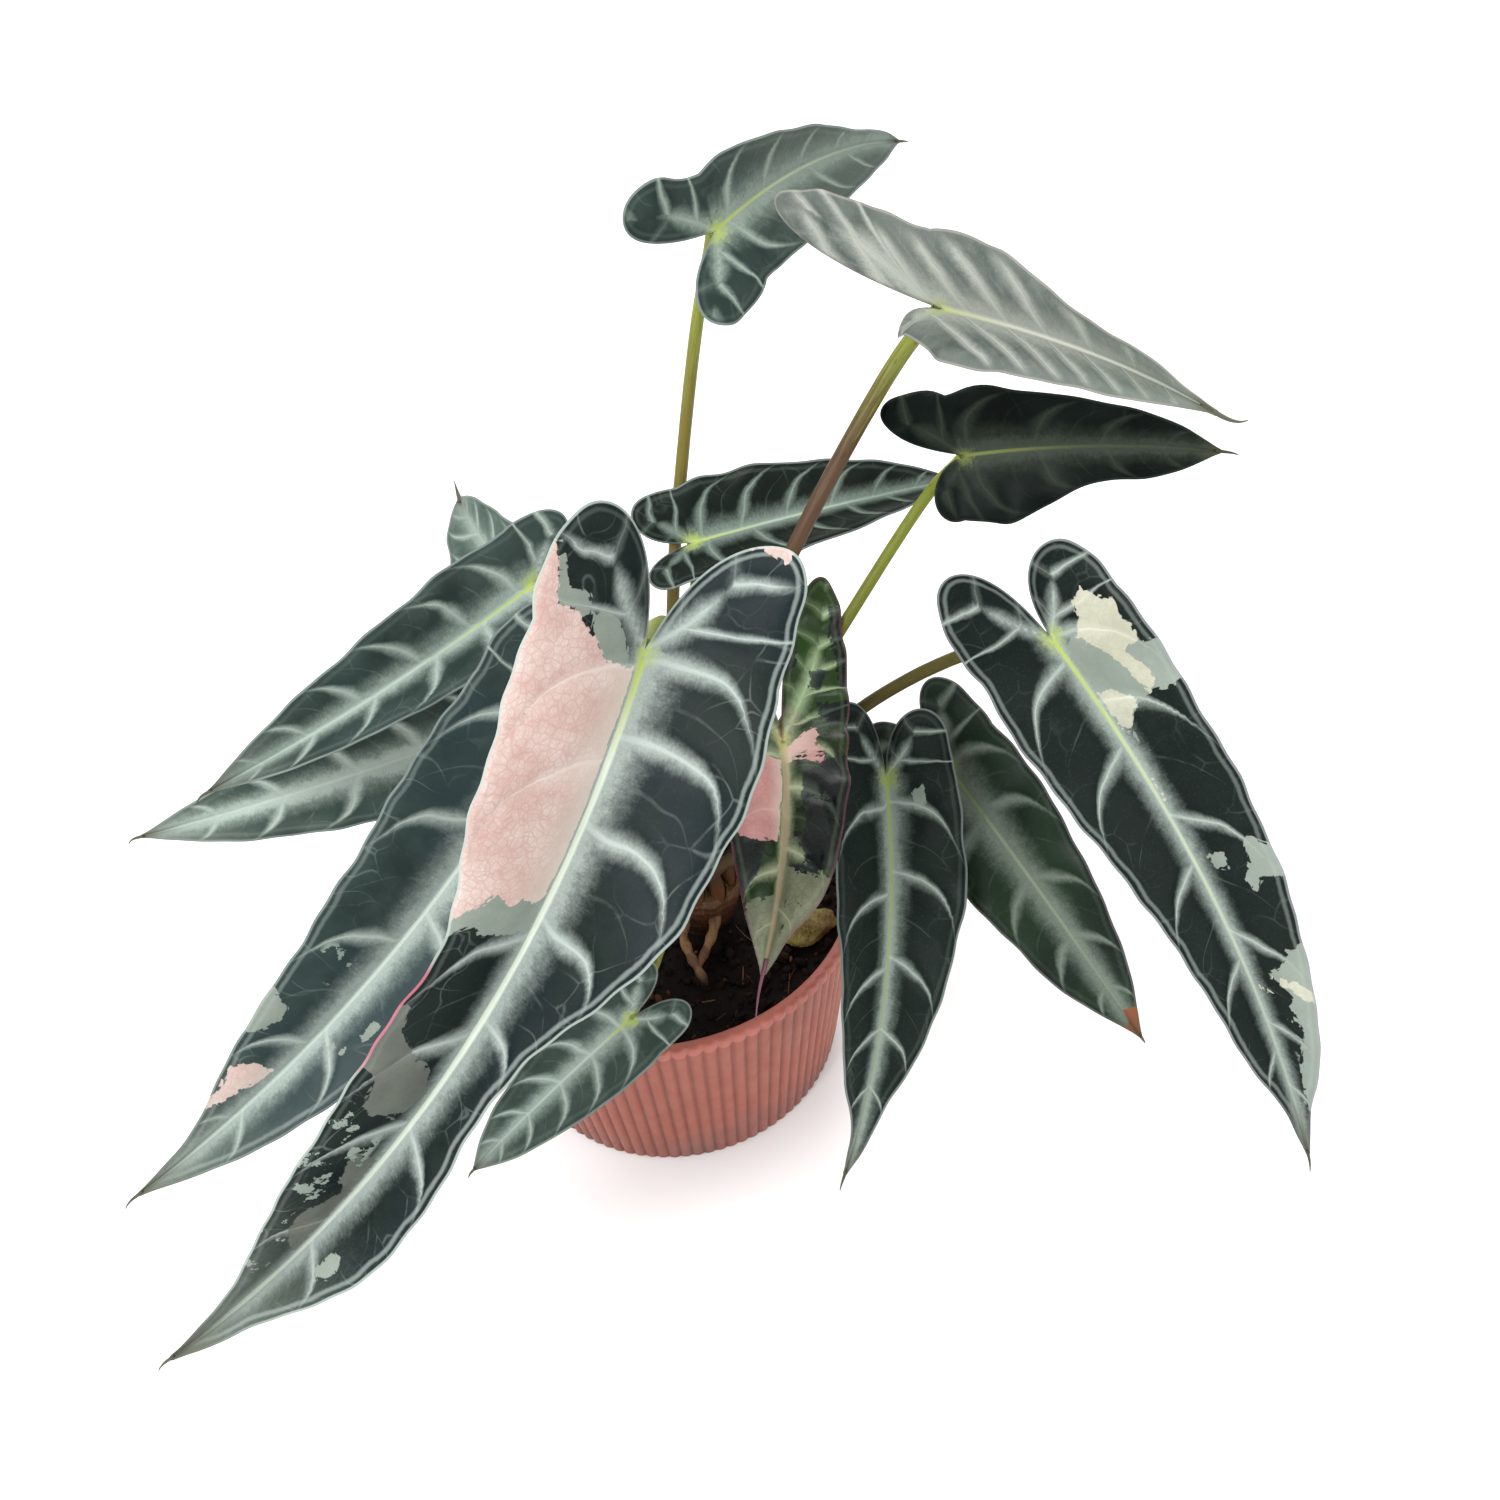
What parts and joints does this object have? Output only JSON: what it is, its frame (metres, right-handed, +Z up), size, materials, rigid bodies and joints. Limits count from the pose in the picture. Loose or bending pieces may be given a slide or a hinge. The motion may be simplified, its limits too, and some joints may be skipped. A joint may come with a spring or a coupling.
{
  "type": "potted variegated bambino alocasia",
  "caption": "Potted variegated bambino alocasia: long dark arrow-shaped leaves with pale veins and pink and cream patches, in a coral fluted pot.",
  "frame": {"origin": "centre of the pot's underside", "axes": "+Z up out of the pot, -Y the front of the plant, where the largest leaf hangs, +X to the right seen from the front"},
  "size_m": [0.3111, 0.2544, 0.2816],
  "materials": {
    "pot_plastic": "matte",
    "soil": "rough",
    "stem": "satin",
    "bark": "rough",
    "stalk": "satin",
    "blade": "satin",
    "young_blade": "gloss"
  },
  "bodies": {
    "root": {"pot": "pot_plastic", "soil": "soil", "stem_base": "stem", "bark_piece": "bark", "stalk_front": "stalk", "blade_front": "blade", "stalk_left_lower": "stalk", "blade_left_lower": "blade", "stalk_left_upper": "stalk", "blade_left_upper": "blade", "stalk_left_middle": "stalk", "blade_left_middle": "blade", "stalk_back_left": "stalk", "blade_back_left": "blade", "stalk_back_middle": "stalk", "blade_back_middle": "blade", "stalk_back_top": "stalk", "blade_back_top": "blade", "stalk_right_top": "stalk", "blade_right_top": "blade", "stalk_right_upper": "stalk", "blade_right_upper": "blade", "stalk_right_large": "stalk", "blade_right_large": "blade", "stalk_centre_near": "stalk", "blade_centre_near": "blade", "stalk_centre_far": "stalk", "blade_centre_far": "blade", "stalk_young": "stalk", "blade_young": "young_blade", "stalk_front_low": "stalk", "blade_front_low": "blade"}
  },
  "joints": []
}
